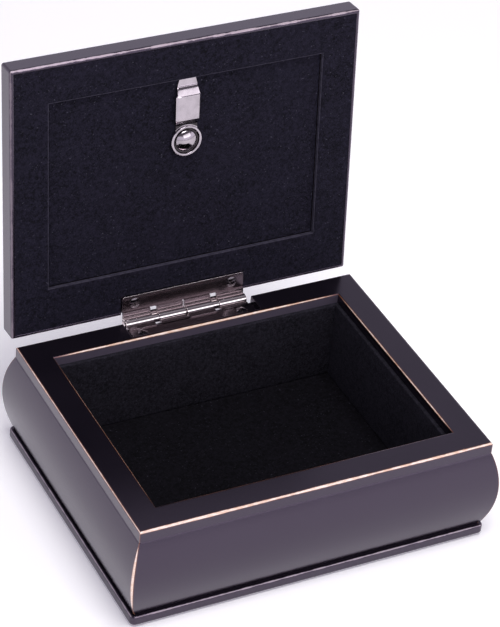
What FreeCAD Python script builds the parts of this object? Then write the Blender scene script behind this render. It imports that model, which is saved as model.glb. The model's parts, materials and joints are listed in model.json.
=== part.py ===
import FreeCAD, Part
import math
import os
import re
import Sketcher

# A keepsake box of painted wood with a photo-frame lid. Millimetres, +Z up, +X to the right and the
# front facing -Y. The origin is the middle of the underside. The lid is drawn shut, and each of its
# pieces has a Placement that swings it open about the hinge pin, so that the box stands with its lid
# resting on the hinge's stop.

doc = FreeCAD.newDocument("keepsake_box")
sheet = doc.addObject("Spreadsheet::Sheet", "Sizes")

SIZES = {
    # Box, measured over the rim
    "box_width": 200.0,
    "box_depth": 159.6,
    "body_height": 60.7,
    "rim_width": 15.3,
    "neck_height": 6.7,
    "bulge_out": 4.9,
    "bulge_step": 0.3,
    "quirk_height": 1.5,
    "quirk_in": 0.5,
    "rim_round": 0.9,
    "rim_inner_round": 0.6,
    # Plinth and felt
    "plinth_thickness": 5.7,
    "plinth_out": 1.9,
    "plinth_corner": 3.0,
    "plinth_round": 1.3,
    "felt_thickness": 0.8,
    "felt_inset": 3.0,
    # Velvet lining cards
    "lining_thickness": 2.2,
    "floor_lining_thickness": 1.4,
    "lining_drop": 5.7,
    # Lid
    "lid_gap": 0.3,
    "lid_thickness": 12.3,
    "lid_inset_side": 0.2,
    "lid_inset_front": 1.05,
    "lid_inset_rear": 0.85,
    "lid_round": 1.4,
    "lid_corner": 1.2,
    "open_angle": 95.66,
    "velvet_margin": 2.0,
    "velvet_thickness": 0.6,
    "velvet_sink": 0.1,
    # Photo pocket, set by a print and the stack of sheets behind its window
    "print_length": 152.4,
    "print_height": 101.6,
    "print_clearance": 2.5,
    "print_clearance_y": 3.9,
    "window_overlap": 3.2,
    "sight_chamfer": 1.6,
    "rear_rail": 26.3,
    "recess_drop": 2.0,
    "board_thickness": 3.0,
    "board_clearance": 0.4,
    "backing_velvet_thickness": 0.8,
    "card_thickness": 0.5,
    "glass_thickness": 2.0,
    "glass_clearance": 0.6,
    # Hinge
    "barrel_radius": 3.0,
    "barrel_sink": 0.35,
    "barrel_cover": 0.2,
    "pin_radius": 1.2,
    "pin_clearance": 0.05,
    "pin_head_radius": 1.9,
    "pin_head_length": 0.5,
    "leaf_length": 72.4,
    "leaf_reach": 15.3,
    "leaf_thickness": 1.6,
    "leaf_start": 6.0,
    "leaf_corner": 1.6,
    "leaf_drop": 1.5,
    "web_end": 5.8,
    "web_drop": 1.0,
    "base_web_end": 6.0,
    "base_web_rise": 0.7,
    "stop_gap": 0.05,
    "middle_gap": 0.4,
    "inner_knuckle": 15.6,
    "outer_knuckle": 16.2,
    "collar_length": 3.4,
    "collar_radius": 2.5,
    "knuckle_gap": 0.2,
    "barrel_clearance": 0.4,
    "mortise_clearance": 0.25,
    "mortise_side": 2.3,
    "ear_clearance": 0.2,
    # Hinge screws
    "lid_screw_spread": 57.8,
    "lid_screw_reach": 10.7,
    "base_screw_spread": 59.2,
    "base_screw_reach": 9.8,
    "screw_head_radius": 2.9,
    "screw_radius": 1.25,
    "screw_length": 10.0,
    "screw_dome": 0.45,
    "screw_slot_width": 0.75,
    "screw_slot_length": 3.0,
    "screw_slot_sink": 0.9,
    # Retaining clip and its rivet
    "rivet_setback": 36.8,
    "rivet_radius": 2.0,
    "rivet_dome_radius": 6.4,
    "rivet_dome_height": 3.0,
    "rivet_foot_radius": 4.0,
    "rivet_foot_thickness": 0.9,
    "clip_thickness": 0.5,
    "clip_lift": 0.12,
    "clip_play": 0.1,
    "ring_radius": 8.8,
    "ring_wall": 1.4,
    "ring_rise": 1.0,
    "neck_width": 12.6,
    "strap_width": 14.2,
    "tip_width": 11.4,
    "tip_end_width": 9.2,
    "neck_end": 9.2,
    "strap_start": 12.2,
    "strap_height": 2.9,
    "slope_length": 5.0,
    "tip_inset": 4.0,
    "tip_tuck": 2.2,
    "tuck_clearance": 0.4,
    "tuck_roof": 0.6,
}

for row, (alias, number) in enumerate(SIZES.items(), start=1):
    sheet.set(f"A{row}", alias)
    sheet.set(f"B{row}", str(number))
    sheet.setAlias(f"B{row}", alias)
doc.recompute()

# Places that several pieces share, as formulas in the sheet's aliases
PLINTH_TOP = "(felt_thickness + plinth_thickness)"
FLOOR_TOP = f"({PLINTH_TOP} + floor_lining_thickness)"
AXIS_Y = "(box_depth / 2 + barrel_radius - barrel_sink)"
AXIS_Z = "(body_height - barrel_radius - barrel_cover)"
LID_LOW = "(body_height + lid_gap)"
LID_TOP = f"({LID_LOW} + lid_thickness)"
LID_SIDE = "(box_width / 2 - lid_inset_side)"
LID_FRONT = "(lid_inset_front - box_depth / 2)"
LID_REAR = "(box_depth / 2 - lid_inset_rear)"
REBATE = "(velvet_sink + velvet_thickness)"
REBATE_Z = f"({LID_LOW} + {REBATE})"
POCKET_SIDE = "(print_length / 2 + print_clearance)"
POCKET_REAR = f"({LID_REAR} - rear_rail)"
POCKET_FRONT = f"({POCKET_REAR} - print_height - 2 * print_clearance_y)"
PANEL_Z = f"({LID_LOW} + velvet_sink + recess_drop)"
BOARD_Z = f"({PANEL_Z} + backing_velvet_thickness)"
CARD_Z = f"({BOARD_Z} + board_thickness)"
GLASS_Z = f"({CARD_Z} + card_thickness)"
LIP_Z = f"({GLASS_Z} + glass_thickness)"
RIVET_Y = f"({POCKET_FRONT} + rivet_setback)"
PLATE_FRONT_Z = f"({REBATE_Z} - leaf_thickness)"
WEB_FRONT = f"({PLATE_FRONT_Z} - web_drop - {AXIS_Z})"
WEB_BACK = f"({WEB_FRONT} + leaf_thickness)"
EAR_END = "(leaf_start - stop_gap)"
BASE_LEAF_Z = f"({AXIS_Z} - leaf_drop)"
BASE_LEAF_TOP = f"({BASE_LEAF_Z} + leaf_thickness)"
LEAF_FRONT_Y = f"({AXIS_Y} - leaf_reach)"
MORTISE_HALF = "(leaf_length / 2 + mortise_side)"
COLLAR_START = "(middle_gap + inner_knuckle + knuckle_gap)"
OUTER_START = f"({COLLAR_START} + collar_length + knuckle_gap)"
BARREL_HALF = f"({OUTER_START} + outer_knuckle)"
TILT = "(open_angle - 90)"
TIP_START = "(rivet_setback - tip_inset)"
STRAP_END = f"({TIP_START} - slope_length)"


def bound(formula):
    """The formula with the sheet's name put before each alias."""
    return re.sub(r"[a-z_]+", lambda word: "Sizes." + word[0] if word[0] in SIZES else word[0], str(formula))


def value(formula):
    return float(sheet.evalExpression(str(formula)))


def bind(item, **formulas):
    """Bind properties of an object; a double underscore in a name stands for a dot."""
    for name, formula in formulas.items():
        item.setExpression(name.replace("__", "."), bound(formula))


def turn(item, axis, angle=0):
    """Give an object's Placement a rotation axis before its angle and place are bound."""
    item.Placement = FreeCAD.Placement(FreeCAD.Vector(), FreeCAD.Rotation(FreeCAD.Vector(*axis), angle or 1))


def place(item, x="0", y="0", z="0"):
    bind(item, Placement__Base__x=x, Placement__Base__y=y, Placement__Base__z=z)


def on_lid(item, x="0", y="0", z="0", flip="0"):
    """Set an object that belongs at (x, y, z) on the shut lid, and swing it open about the pin."""
    turn(item, (1, 0, 0))
    back, up = f"({y} - {AXIS_Y})", f"({z} - {AXIS_Z})"
    place(
        item,
        x,
        f"{AXIS_Y} + {back} * cos(open_angle) + {up} * sin(open_angle)",
        f"{AXIS_Z} - {back} * sin(open_angle) + {up} * cos(open_angle)",
    )
    bind(item, Placement__Rotation__Angle=f"{flip} - open_angle")


def new_body(name):
    body = doc.addObject("PartDesign::Body", name)
    body.Label = name
    return body


def new_sketch(body, name, plane, start="0"):
    """A sketch on one of the body's origin planes, moved along the plane's normal by start."""
    sketch = body.newObject("Sketcher::SketchObject", f"{body.Name}_{name}")
    support = next(item for item in body.Origin.OriginFeatures if item.Role == plane)
    sketch.AttachmentSupport = [(support, "")]
    sketch.MapMode = "FlatFace"
    bind(sketch, AttachmentOffset__Base__z=start)
    return sketch


def pin_point(sketch, curve, end, corner):
    """Bind one end of a curve to its corner's formulas."""
    for kind, formula in zip(("DistanceX", "DistanceY"), corner):
        index = sketch.addConstraint(Sketcher.Constraint(kind, curve, end, value(formula)))
        sketch.setExpression(f"Constraints[{index}]", bound(formula))


def outline(sketch, corners):
    """Add a closed outline. A corner is (x, y), or (x, y, radius) where an arc leads to the next
    corner: a positive radius bulges to the right of the way there, a negative one to the left."""
    spots = [FreeCAD.Vector(value(corner[0]), value(corner[1]), 0) for corner in corners]
    ends = []
    for i, corner in enumerate(corners):
        start, stop = spots[i], spots[(i + 1) % len(spots)]
        if len(corner) == 2:
            curve = sketch.addGeometry(Part.LineSegment(start, stop))
            ends.append((curve, 1, 2))
            continue
        radius = value(corner[2])
        chord = stop - start
        depth = abs(radius) - math.sqrt(max(radius * radius - chord.Length**2 / 4, 0))
        side = FreeCAD.Vector(chord.y, -chord.x, 0).normalize() * math.copysign(depth, radius)
        curve = sketch.addGeometry(Part.Arc(start, (start + stop) / 2 + side, stop))
        forward = (sketch.getPoint(curve, 1) - start).Length < 1e-6
        ends.append((curve, 1, 2) if forward else (curve, 2, 1))
        index = sketch.addConstraint(Sketcher.Constraint("Radius", curve, abs(radius)))
        sketch.setExpression(f"Constraints[{index}]", f"abs({bound(corner[2])})")
    for i, corner in enumerate(corners):
        curve, first, last = ends[i]
        following, following_first, _ = ends[(i + 1) % len(ends)]
        sketch.addConstraint(Sketcher.Constraint("Coincident", curve, last, following, following_first))
        pin_point(sketch, curve, first, corner)


def circle(sketch, x, y, radius):
    centre = FreeCAD.Vector(value(x), value(y), 0)
    curve = sketch.addGeometry(Part.Circle(centre, FreeCAD.Vector(0, 0, 1), value(radius)))
    pin_point(sketch, curve, 3, (x, y))
    index = sketch.addConstraint(Sketcher.Constraint("Radius", curve, value(radius)))
    sketch.setExpression(f"Constraints[{index}]", bound(radius))


def rectangle(x_low, y_low, x_high, y_high, corner=None):
    """A rectangle's corners, rounded where a corner radius is given."""
    if corner is None:
        return [(x_low, y_low), (x_high, y_low), (x_high, y_high), (x_low, y_high)]
    return [
        (f"{x_low} + {corner}", y_low),
        (f"{x_high} - {corner}", y_low, corner),
        (x_high, f"{y_low} + {corner}"),
        (x_high, f"{y_high} - {corner}", corner),
        (f"{x_high} - {corner}", y_high),
        (f"{x_low} + {corner}", y_high, corner),
        (x_low, f"{y_high} - {corner}"),
        (x_low, f"{y_low} + {corner}", corner),
    ]


def extrude(body, name, plane, start, length, outlines=(), circles=(), cut=False):
    """Pad or pocket from start along the plane's normal, over length."""
    before = body.Shape.Volume if cut else 0.0
    sketch = new_sketch(body, f"{name}_sketch", plane, start)
    for corners in outlines:
        outline(sketch, corners)
    for x, y, radius in circles:
        circle(sketch, x, y, radius)
    feature = body.newObject("PartDesign::Pocket" if cut else "PartDesign::Pad", f"{body.Name}_{name}")
    feature.Profile = sketch
    feature.Reversed = cut
    bind(feature, Length=length)
    sketch.Visibility = False
    doc.recompute()
    if cut and body.Shape.Volume > before - 1e-6:
        raise RuntimeError(f"{feature.Name} cuts nothing")
    return feature


def revolve(body, name, corners):
    """Turn an outline in the XZ plane a full turn about the body's Z axis."""
    sketch = new_sketch(body, f"{name}_sketch", "XZ_Plane")
    outline(sketch, corners)
    feature = body.newObject("PartDesign::Revolution", f"{body.Name}_{name}")
    feature.Profile = sketch
    feature.ReferenceAxis = (sketch, ["V_Axis"])
    feature.Angle = 360
    doc.recompute()
    return feature


def round_edges(body, name, edges, radius):
    """Fillet the edges of the body's tip that the test picks."""
    tip = body.Tip
    chosen = [f"Edge{i}" for i, edge in enumerate(tip.Shape.Edges, start=1) if edges(edge)]
    feature = body.newObject("PartDesign::Fillet", f"{body.Name}_{name}")
    feature.Base = (tip, chosen)
    bind(feature, Radius=radius)
    doc.recompute()
    return feature


def make_box(name, low, high):
    """A plain slab between two corners."""
    slab = doc.addObject("Part::Box", name)
    slab.Label = name
    bind(slab, Length=f"{high[0]} - {low[0]}", Width=f"{high[1]} - {low[1]}", Height=f"{high[2]} - {low[2]}")
    place(slab, *low)
    return slab


def make_upright(name, radius, y, low, high):
    """A cylinder about a line parallel to Z in the plane x = 0."""
    post = doc.addObject("Part::Cylinder", name)
    bind(post, Radius=radius, Height=f"{high} - {low}")
    place(post, "0", y, low)
    return post


def cut_away(name, base, tools):
    """base less each of the tools."""
    for step, tool in enumerate(tools):
        cut = doc.addObject("Part::Cut", f"{name}_less_{step}")
        cut.Base = base
        cut.Tool = tool
        base = cut
    base.Label = name
    return base


# ---- Plinth and felt ----------------------------------------------------------------------------


def make_plinth():
    body = new_body("plinth")
    side, end = "(box_width / 2 + plinth_out)", "(box_depth / 2 + plinth_out)"
    corners = rectangle(f"-{side}", f"-{end}", side, end, "plinth_corner")
    extrude(body, "board", "XY_Plane", "felt_thickness", "plinth_thickness", [corners])
    level_edges = lambda edge: abs(edge.BoundBox.ZLength) < 1e-6
    round_edges(body, "rounding", level_edges, "plinth_round")
    return body


def make_felt():
    side = "(box_width / 2 + plinth_out - felt_inset)"
    end = "(box_depth / 2 + plinth_out - felt_inset)"
    return make_box("base_felt", (f"-{side}", f"-{end}", "0"), (side, end, "felt_thickness"))


# ---- Mitred walls -------------------------------------------------------------------------------


def wall_section(depth):
    """The moulding's section, with its outer face towards -Y at the given depth from the middle."""
    face, inner = f"-({depth})", f"(rim_width - {depth})"
    neck_z = "(body_height - neck_height)"
    foot_z = f"({PLINTH_TOP} + quirk_height)"
    sagitta = "(bulge_out - bulge_step)"
    chord = f"({neck_z} - bulge_step - {foot_z})"
    bulge_radius = f"({chord} * {chord} / 4 + {sagitta} * {sagitta}) / (2 * {sagitta})"
    return [
        (inner, PLINTH_TOP),
        (inner, "body_height - rim_inner_round", "rim_inner_round"),
        (f"{inner} - rim_inner_round", "body_height"),
        (f"{face} + rim_round", "body_height", "rim_round"),
        (face, "body_height - rim_round"),
        (face, neck_z),
        (f"{face} - bulge_step", f"{neck_z} - bulge_step", bulge_radius),
        (f"{face} - bulge_step", foot_z),
        (f"{face} + quirk_in", foot_z),
        (f"{face} + quirk_in", PLINTH_TOP),
    ]


def make_wall(name, run, depth, turn_angle):
    """One length of moulding, mitred at both ends, with its outer face at the given depth."""
    body = new_body(name)
    half, past = f"({run} / 2)", "(bulge_out + 1)"
    extrude(body, "moulding", "YZ_Plane", f"-{half} - {past}", f"{run} + 2 * {past}", [wall_section(depth)])
    near, far = f"(rim_width + 1 - {depth})", f"(-{depth} - {past})"
    mitres = []
    for sign in ("-", ""):
        inner_x, outer_x = f"{sign}({half} - rim_width - 1)", f"{sign}({half} + {past})"
        mitres.append([(inner_x, near), (outer_x, far), (outer_x, near)])
    extrude(body, "mitres", "XY_Plane", "0", "body_height + 1", mitres, cut=True)
    body.Placement = FreeCAD.Placement(FreeCAD.Vector(), FreeCAD.Rotation(FreeCAD.Vector(0, 0, 1), turn_angle))
    return body


def cut_hinge_mortise(body):
    """Room in the back wall for the base leaf, its barrel and its screws. The wall is drawn facing
    the front, so the places here are the box's own turned half round."""
    low, inner = BASE_LEAF_Z, f"-({LEAF_FRONT_Y} - mortise_clearance)"
    outer = "-(box_depth / 2 + bulge_out + 1)"
    extrude(
        body, "mortise", "XY_Plane", low, "body_height", [rectangle(f"-{MORTISE_HALF}", outer, MORTISE_HALF, inner)],
        cut=True,
    )
    extrude(
        body, "barrel_room", "YZ_Plane", f"-{MORTISE_HALF}", f"2 * {MORTISE_HALF}",
        circles=[(f"-{AXIS_Y}", AXIS_Z, "barrel_radius + barrel_clearance")], cut=True,
    )
    row = f"-({AXIS_Y} - base_screw_reach)"
    holes = [("-base_screw_spread / 2", row, "screw_radius"), ("base_screw_spread / 2", row, "screw_radius")]
    depth = f"(screw_length - leaf_thickness + 0.5)"
    extrude(body, "screw_holes", "XY_Plane", f"{low} - {depth}", f"{depth} + 0.1", circles=holes, cut=True)


def make_walls():
    walls = [
        make_wall("wall_front", "box_width", "box_depth / 2", 0),
        make_wall("wall_right", "box_depth", "box_width / 2", 90),
        make_wall("wall_back", "box_width", "box_depth / 2", 180),
        make_wall("wall_left", "box_depth", "box_width / 2", 270),
    ]
    cut_hinge_mortise(walls[2])
    return walls


# ---- Velvet lining ------------------------------------------------------------------------------


def make_linings():
    side, end = "(box_width / 2 - rim_width)", "(box_depth / 2 - rim_width)"
    inside, top = f"({side} - lining_thickness)", "(body_height - lining_drop)"
    front = f"(lining_thickness - {end})"
    return [
        make_box("lining_floor", (f"-{side}", f"-{end}", PLINTH_TOP), (side, end, FLOOR_TOP)),
        make_box("lining_front", (f"-{side}", f"-{end}", FLOOR_TOP), (side, front, top)),
        make_box("lining_back", (f"-{side}", f"-{front}", FLOOR_TOP), (side, end, top)),
        make_box("lining_left", (f"-{side}", front, FLOOR_TOP), (f"-{inside}", f"-{front}", top)),
        make_box("lining_right", (inside, front, FLOOR_TOP), (side, f"-{front}", top)),
    ]


# ---- Lid ----------------------------------------------------------------------------------------


def make_lid_frame():
    body = new_body("lid_frame")
    blank = rectangle(f"-{LID_SIDE}", LID_FRONT, LID_SIDE, LID_REAR, "lid_corner")
    extrude(body, "blank", "XY_Plane", LID_LOW, "lid_thickness", [blank])
    level_edges = lambda edge: abs(edge.BoundBox.ZLength) < 1e-6
    round_edges(body, "edge_rounding", level_edges, "lid_round")
    field = rectangle(
        f"(velvet_margin - {LID_SIDE})", f"{LID_FRONT} + velvet_margin",
        f"({LID_SIDE} - velvet_margin)", f"{LID_REAR} - velvet_margin",
    )
    extrude(body, "rebate", "XY_Plane", LID_LOW, REBATE, [field], cut=True)
    pocket = rectangle(f"-{POCKET_SIDE}", POCKET_FRONT, POCKET_SIDE, POCKET_REAR)
    extrude(body, "pocket", "XY_Plane", LID_LOW, f"{LIP_Z} - {LID_LOW}", [pocket], cut=True)
    side, end = "(print_clearance + window_overlap)", "(print_clearance_y + window_overlap)"
    window = rectangle(
        f"({side} - {POCKET_SIDE})", f"{POCKET_FRONT} + {end}", f"({POCKET_SIDE} - {side})", f"{POCKET_REAR} - {end}"
    )
    extrude(body, "window", "XY_Plane", LID_LOW, "lid_thickness", [window], cut=True)
    top = value(LID_TOP)
    reach = value(POCKET_SIDE)
    sight_edges = lambda edge: (
        abs(edge.BoundBox.ZMin - top) < 1e-6 and abs(edge.BoundBox.ZMax - top) < 1e-6
        and abs(edge.BoundBox.XMin) < reach and abs(edge.BoundBox.XMax) < reach
    )
    tip = body.Tip
    chamfer = body.newObject("PartDesign::Chamfer", "lid_frame_sight_edge")
    chamfer.Base = (tip, [f"Edge{i}" for i, edge in enumerate(tip.Shape.Edges, start=1) if sight_edges(edge)])
    bind(chamfer, Size="sight_chamfer")
    doc.recompute()
    cut_hinge_room(body)
    cut_tuck_slot(body)
    on_lid(body)
    return body


def cut_hinge_room(body):
    """Room in the lid's rear edge for the hinge's stop ears, and holes for its screws. The leaf's own
    seat is the rebate's floor, so the velvet margin is cleared across the leaf."""
    half, front = "(leaf_length / 2 + mortise_clearance)", f"({LEAF_FRONT_Y} - mortise_clearance)"
    seat = rectangle(f"-{half}", front, half, f"{LID_REAR} + 1")
    extrude(body, "leaf_seat", "XY_Plane", f"{LID_LOW} - 1", f"{REBATE} + 1", [seat], cut=True)
    ear_reach = f"(sqrt({EAR_END} * {EAR_END} + {WEB_BACK} * {WEB_BACK}) + ear_clearance)"
    reach = f"({ear_reach} * sqrt(2))"
    low = f"({LID_LOW} - 1)"
    below, behind = f"({low} - {AXIS_Z})", f"({AXIS_Y} - {LID_REAR} - 1)"
    relief = [
        (f"{AXIS_Y} - ({reach} - {below})", low),
        (f"{LID_REAR} + 1", low),
        (f"{LID_REAR} + 1", f"{AXIS_Z} + {reach} - {behind}"),
    ]
    extrude(body, "ear_relief", "YZ_Plane", f"-{half}", f"2 * {half}", [relief], cut=True)
    row = f"({AXIS_Y} - lid_screw_reach)"
    holes = [("-lid_screw_spread / 2", row, "screw_radius"), ("lid_screw_spread / 2", row, "screw_radius")]
    extrude(body, "screw_holes", "XY_Plane", LID_LOW, "screw_length", circles=holes, cut=True)


def cut_tuck_slot(body):
    """A slot behind the recess's front wall. Its far side is an arc about the rivet, so the clip's
    tip can swing out of it."""
    start = f"({REBATE_Z} + tuck_roof)"
    radius = "(rivet_setback + tip_tuck + tuck_clearance)"
    edge = f"({POCKET_FRONT} + 1)"
    half = f"sqrt({radius} * {radius} - (rivet_setback - 1) * (rivet_setback - 1))"
    lens = [(f"-{half}", edge, radius), (half, edge)]
    extrude(body, "tuck_slot", "XY_Plane", start, f"{PANEL_Z} - {start} + 0.1", [lens], cut=True)


def make_lid_velvet():
    body = new_body("lid_velvet")
    field = rectangle(
        f"(velvet_margin - {LID_SIDE})", f"{LID_FRONT} + velvet_margin",
        f"({LID_SIDE} - velvet_margin)", f"{LID_REAR} - velvet_margin",
    )
    low = f"({LID_LOW} + velvet_sink)"
    extrude(body, "field", "XY_Plane", low, "velvet_thickness", [field])
    pocket = rectangle(f"-{POCKET_SIDE}", POCKET_FRONT, POCKET_SIDE, POCKET_REAR)
    half, front = "(leaf_length / 2 + mortise_clearance)", f"({LEAF_FRONT_Y} - mortise_clearance)"
    leaf_seat = rectangle(f"-{half}", front, half, f"{LID_REAR} + 1")
    extrude(body, "openings", "XY_Plane", low, "velvet_thickness", [pocket, leaf_seat], cut=True)
    on_lid(body)
    return body


def pocket_sheet(name, side, end, low, high):
    """A sheet that lies in the photo pocket with clearance at its sides and ends."""
    sheet_low = (f"({side} - {POCKET_SIDE})", f"({POCKET_FRONT} + {end})", low)
    sheet_high = (f"({POCKET_SIDE} - {side})", f"({POCKET_REAR} - {end})", high)
    return make_box(name, sheet_low, sheet_high)


def make_lid_sheets():
    """Glass, photo card, backing board and its velvet, from the window inwards."""
    glass = pocket_sheet("lid_glass", "glass_clearance", "glass_clearance", GLASS_Z, LIP_Z)
    card = pocket_sheet("photo_card", "print_clearance", "print_clearance_y", CARD_Z, GLASS_Z)
    board_blank = pocket_sheet("board_blank", "board_clearance", "board_clearance", BOARD_Z, CARD_Z)
    velvet_blank = pocket_sheet("velvet_blank", "board_clearance", "board_clearance", PANEL_Z, BOARD_Z)
    foot_z = f"({CARD_Z} - rivet_foot_thickness)"
    shaft = make_upright("board_hole", "rivet_radius", RIVET_Y, BOARD_Z, CARD_Z)
    counterbore = make_upright("board_counterbore", "rivet_foot_radius", RIVET_Y, foot_z, CARD_Z)
    velvet_hole = make_upright("velvet_hole", "rivet_radius", RIVET_Y, PANEL_Z, BOARD_Z)
    board = cut_away("backing_board", board_blank, [shaft, counterbore])
    velvet = cut_away("backing_velvet", velvet_blank, [velvet_hole])
    sheets = [glass, card, board, velvet]
    for item in (board, velvet):
        on_lid(item)
    on_lid(glass, f"glass_clearance - {POCKET_SIDE}", f"({POCKET_FRONT} + glass_clearance)", GLASS_Z)
    on_lid(card, f"print_clearance - {POCKET_SIDE}", f"({POCKET_FRONT} + print_clearance_y)", CARD_Z)
    return sheets


# ---- Hinge --------------------------------------------------------------------------------------


def screw_cuts(body, spread, reach, surface, direction):
    """Countersunk clearance holes through a leaf, from its visible face."""
    for side in (-1, 1):
        cone = body.newObject("PartDesign::SubtractiveCone", f"{body.Name}_countersink")
        bind(cone, Radius1="screw_head_radius", Radius2="screw_radius", Height="leaf_thickness")
        cone.Placement.Rotation = FreeCAD.Rotation(FreeCAD.Vector(1, 0, 0), 180 if direction < 0 else 0)
        place(cone, f"{side} * {spread} / 2", f"{AXIS_Y} - {reach}", surface)
    doc.recompute()


def leaf_plate(body, low):
    """A leaf's plate, with its two far corners rounded."""
    half = "(leaf_length / 2)"
    near = f"({AXIS_Y} - leaf_start)" if body.Label == "hinge_lid_leaf" else f"({AXIS_Y} - base_web_end)"
    corners = [
        (f"-{half}", near),
        (f"-{half}", f"{LEAF_FRONT_Y} + leaf_corner", "leaf_corner"),
        (f"leaf_corner - {half}", LEAF_FRONT_Y),
        (f"{half} - leaf_corner", LEAF_FRONT_Y, "leaf_corner"),
        (half, f"{LEAF_FRONT_Y} + leaf_corner"),
        (half, near),
    ]
    extrude(body, "plate", "XY_Plane", low, "leaf_thickness", [corners])


def make_base_leaf():
    """The leaf on the box. Its knuckles carry ears that point up and stop the lid's plate."""
    body = new_body("hinge_base_leaf")
    leaf_plate(body, BASE_LEAF_Z)
    spans = [(f"-{BARREL_HALF}", "outer_knuckle"), ("middle_gap", "inner_knuckle")]
    web = rectangle(
        f"({AXIS_Y} - base_web_end - 0.7)", BASE_LEAF_Z, AXIS_Y, f"({BASE_LEAF_TOP} + base_web_rise)"
    )
    ear = [ear_point("0", WEB_FRONT), ear_point(EAR_END, WEB_FRONT)]
    ear += [ear_point(EAR_END, WEB_BACK), ear_point("0", WEB_BACK)]
    for number, (start, length) in enumerate(spans):
        extrude(body, f"knuckle_{number}", "YZ_Plane", start, length, circles=[(AXIS_Y, AXIS_Z, "barrel_radius")])
        extrude(body, f"web_{number}", "YZ_Plane", start, length, [web])
        extrude(body, f"ear_{number}", "YZ_Plane", start, length, [ear])
    tongue_spans = [(f"-{COLLAR_START} + knuckle_gap", "inner_knuckle"), (OUTER_START, "outer_knuckle")]
    tongue_end = f"({AXIS_Y} - barrel_radius - barrel_clearance)"
    tongue = rectangle(f"({AXIS_Y} - base_web_end - 1)", BASE_LEAF_Z, tongue_end, BASE_LEAF_TOP)
    for number, (start, length) in enumerate(tongue_spans):
        extrude(body, f"tongue_{number}", "YZ_Plane", start, length, [tongue])
    bore = [(AXIS_Y, AXIS_Z, "pin_radius")]
    extrude(body, "bore", "YZ_Plane", f"-{BARREL_HALF} - 1", f"2 * {BARREL_HALF}", circles=bore, cut=True)
    screw_cuts(body, "base_screw_spread", "base_screw_reach", BASE_LEAF_TOP, -1)
    return body


def ear_point(along, across):
    """A point of the base knuckles' ears, which lie along the open lid: along it, then across it."""
    return (
        f"{AXIS_Y} + {along} * sin({TILT}) + {across} * cos({TILT})",
        f"{AXIS_Z} + {along} * cos({TILT}) - {across} * sin({TILT})",
    )


def make_lid_leaf():
    """The leaf on the lid, drawn with the lid shut."""
    body = new_body("hinge_lid_leaf")
    leaf_plate(body, PLATE_FRONT_Z)
    spans = [(f"-{COLLAR_START} + knuckle_gap", "inner_knuckle"), (OUTER_START, "outer_knuckle")]
    web = rectangle(f"({AXIS_Y} - web_end)", f"({AXIS_Z} + {WEB_FRONT})", AXIS_Y, f"({AXIS_Z} + {WEB_BACK})")
    tail = rectangle(f"({AXIS_Y} - leaf_start - 0.5)", PLATE_FRONT_Z, f"({AXIS_Y} - web_end + 0.8)", REBATE_Z)
    for number, (start, length) in enumerate(spans):
        extrude(body, f"tail_{number}", "YZ_Plane", start, length, [tail])
        extrude(body, f"web_{number}", "YZ_Plane", start, length, [web])
        extrude(body, f"knuckle_{number}", "YZ_Plane", start, length, circles=[(AXIS_Y, AXIS_Z, "barrel_radius")])
    bore = [(AXIS_Y, AXIS_Z, "pin_radius + pin_clearance")]
    extrude(body, "bore", "YZ_Plane", f"-{BARREL_HALF}", f"2 * {BARREL_HALF} + 1", circles=bore, cut=True)
    screw_cuts(body, "lid_screw_spread", "lid_screw_reach", PLATE_FRONT_Z, 1)
    on_lid(body)
    return body


def pin_cylinder(name, radius, start, length):
    """A cylinder along the hinge's axis."""
    bar = doc.addObject("Part::Cylinder", name)
    bind(bar, Radius=radius, Height=length)
    bar.Placement = FreeCAD.Placement(FreeCAD.Vector(), FreeCAD.Rotation(FreeCAD.Vector(0, 1, 0), 90))
    place(bar, start, AXIS_Y, AXIS_Z)
    return bar


def make_pin():
    """The pin, with a low head at each end."""
    end = f"({BARREL_HALF} + knuckle_gap / 2)"
    pieces = [
        pin_cylinder("pin_shank", "pin_radius", f"-{end}", f"2 * {end}"),
        pin_cylinder("pin_head_left", "pin_head_radius", f"-{end} - pin_head_length", "pin_head_length"),
        pin_cylinder("pin_head_right", "pin_head_radius", end, "pin_head_length"),
    ]
    pin = doc.addObject("Part::MultiFuse", "hinge_pin")
    pin.Label = "hinge_pin"
    pin.Shapes = pieces
    return pin


def make_collars():
    """Spacers on the pin between the knuckles, each with a flat lug towards the lid."""
    collars = []
    for number, start in enumerate((f"-{COLLAR_START} - collar_length", COLLAR_START)):
        body = new_body(f"collar_{number}")
        extrude(body, "ring", "YZ_Plane", start, "collar_length", circles=[(AXIS_Y, AXIS_Z, "collar_radius")])
        lug_end, lug_back = "(barrel_radius + 1.2)", "(collar_radius - 0.2)"
        lug = [ear_point("0", "1"), ear_point(lug_end, "1"), ear_point(lug_end, lug_back), ear_point("0", lug_back)]
        extrude(body, "lug", "YZ_Plane", start, "collar_length", [lug])
        extrude(
            body, "bore", "YZ_Plane", f"{start} - 1", "collar_length + 2",
            circles=[(AXIS_Y, AXIS_Z, "pin_radius")], cut=True,
        )
        collars.append(body)
    return join_group("hinge_collars", collars)


def join_group(name, items):
    """Separate solids that share one node."""
    group = doc.addObject("Part::Compound", name)
    group.Label = name
    group.Links = items
    return group


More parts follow.
